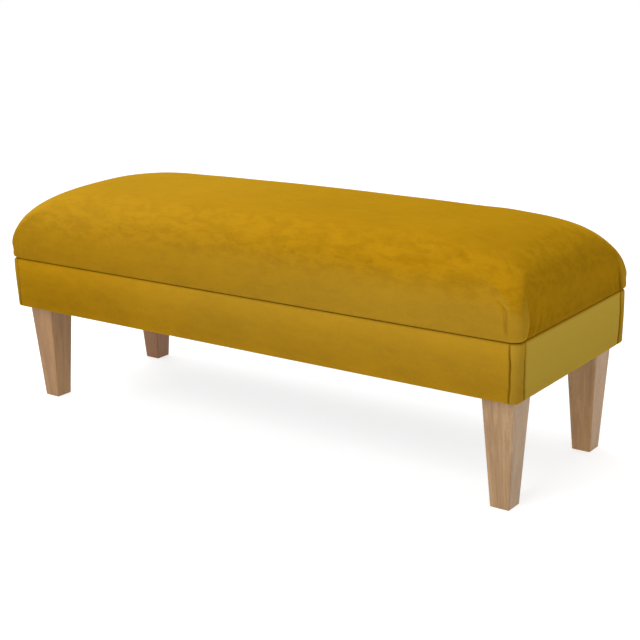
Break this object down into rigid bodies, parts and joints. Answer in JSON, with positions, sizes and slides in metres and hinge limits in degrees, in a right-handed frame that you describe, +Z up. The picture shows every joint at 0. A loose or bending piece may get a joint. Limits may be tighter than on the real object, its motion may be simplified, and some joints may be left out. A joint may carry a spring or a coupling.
{
  "type": "ottoman with storage",
  "caption": "Long low storage ottoman: deep crowned velvet lid, hinged at the back over a shallow lined box, on tapered square wooden legs.",
  "frame": {"origin": "on the floor, under the middle of the whole outline (the hinge barrels at the back count in the outline)", "axes": "+X along the bench to its right end seen from the front, +Y to the back where the hinges are, +Z up"},
  "size_m": [1.0836, 0.3961, 0.4218],
  "materials": {
    "frame_timber": "planed softwood, unfinished",
    "plywood": "sanded birch-faced plywood, unfinished",
    "leg_beech": "clear satin lacquer on beech",
    "zinc_steel": "bright zinc plated",
    "staple_wire": "galvanised",
    "velvet": "short-pile mustard velvet with a brushed nap",
    "wadding": "white polyester wadding",
    "foam": "cut upholstery foam",
    "dust_cloth": "black spunbonded cloth",
    "lining_cloth": "plain calico over board",
    "hinge_steel": "passivated zinc plate",
    "stay_steel": "nickel plated strip",
    "rivet_steel": "bright nickel plated"
  },
  "bodies": {
    "base": {"back_rail": "frame_timber", "base_cover": "velvet", "base_panel": "plywood", "base_staples": "staple_wire", "base_wadding": "wadding", "dust_cloth": "dust_cloth", "front_rail": "frame_timber", "hinge_base_screws": "zinc_steel", "hinge_left_base_leaf": "hinge_steel", "hinge_left_pin": "hinge_steel", "hinge_middle_base_leaf": "hinge_steel", "hinge_middle_pin": "hinge_steel", "hinge_right_base_leaf": "hinge_steel", "hinge_right_pin": "hinge_steel", "left_rail": "frame_timber", "leg_back_left": "leg_beech", "leg_back_right": "leg_beech", "leg_bolts": "zinc_steel", "leg_front_left": "leg_beech", "leg_front_right": "leg_beech", "leg_tee_nuts": "zinc_steel", "lining_back": "lining_cloth", "lining_floor": "lining_cloth", "lining_front": "lining_cloth", "lining_left": "lining_cloth", "lining_right": "lining_cloth", "panel_screws": "zinc_steel", "rail_screws": "zinc_steel", "right_rail": "frame_timber", "stay_left_foot_rivet": "rivet_steel", "stay_left_plate": "stay_steel", "stay_right_foot_rivet": "rivet_steel", "stay_right_plate": "stay_steel", "stay_wall_screws": "zinc_steel"},
    "lid": {"foam_pad": "foam", "hinge_left_lid_leaf": "hinge_steel", "hinge_lid_screws": "zinc_steel", "hinge_middle_lid_leaf": "hinge_steel", "hinge_right_lid_leaf": "hinge_steel", "lid_board": "plywood", "lid_cover": "velvet", "lid_lining": "lining_cloth", "lid_staples": "staple_wire", "lid_wadding": "wadding", "stay_left_head_rivet": "rivet_steel", "stay_left_lid_bracket": "stay_steel", "stay_lid_screws": "zinc_steel", "stay_right_head_rivet": "rivet_steel", "stay_right_lid_bracket": "stay_steel"},
    "left_stay_arm": {"stay_left_arm": "stay_steel", "stay_left_elbow_rivet": "rivet_steel"},
    "left_stay_link": {"stay_left_link": "stay_steel"},
    "right_stay_arm": {"stay_right_arm": "stay_steel", "stay_right_elbow_rivet": "rivet_steel"},
    "right_stay_link": {"stay_right_link": "stay_steel"}
  },
  "joints": [
    {"name": "lid_hinge", "type": "hinge", "parent": "base", "child": "lid", "pos_m": [0, 0.19355, 0.2794], "axis": [-1, 0, 0], "range_deg": [0, 90]},
    {"name": "left_stay_foot", "type": "hinge", "parent": "base", "child": "left_stay_arm", "pos_m": [-0.5095, 0.14355, 0.2314], "axis": [-1, 0, 0], "range_deg": [0, 90]},
    {"name": "left_stay_elbow", "type": "hinge", "parent": "left_stay_arm", "child": "left_stay_link", "pos_m": [-0.5065, -0.05645, 0.2204], "axis": [-1, 0, 0], "range_deg": [-90, 0]},
    {"name": "right_stay_foot", "type": "hinge", "parent": "base", "child": "right_stay_arm", "pos_m": [0.5095, 0.14355, 0.2314], "axis": [-1, 0, 0], "range_deg": [0, 90]},
    {"name": "right_stay_elbow", "type": "hinge", "parent": "right_stay_arm", "child": "right_stay_link", "pos_m": [0.5065, -0.05645, 0.2204], "axis": [-1, 0, 0], "range_deg": [-90, 0]}
  ],
  "couplings": [
    {"joint": "left_stay_foot", "follows": "lid_hinge", "ratio": 1},
    {"joint": "left_stay_elbow", "follows": "lid_hinge", "ratio": -1},
    {"joint": "right_stay_foot", "follows": "lid_hinge", "ratio": 1},
    {"joint": "right_stay_elbow", "follows": "lid_hinge", "ratio": -1}
  ]
}
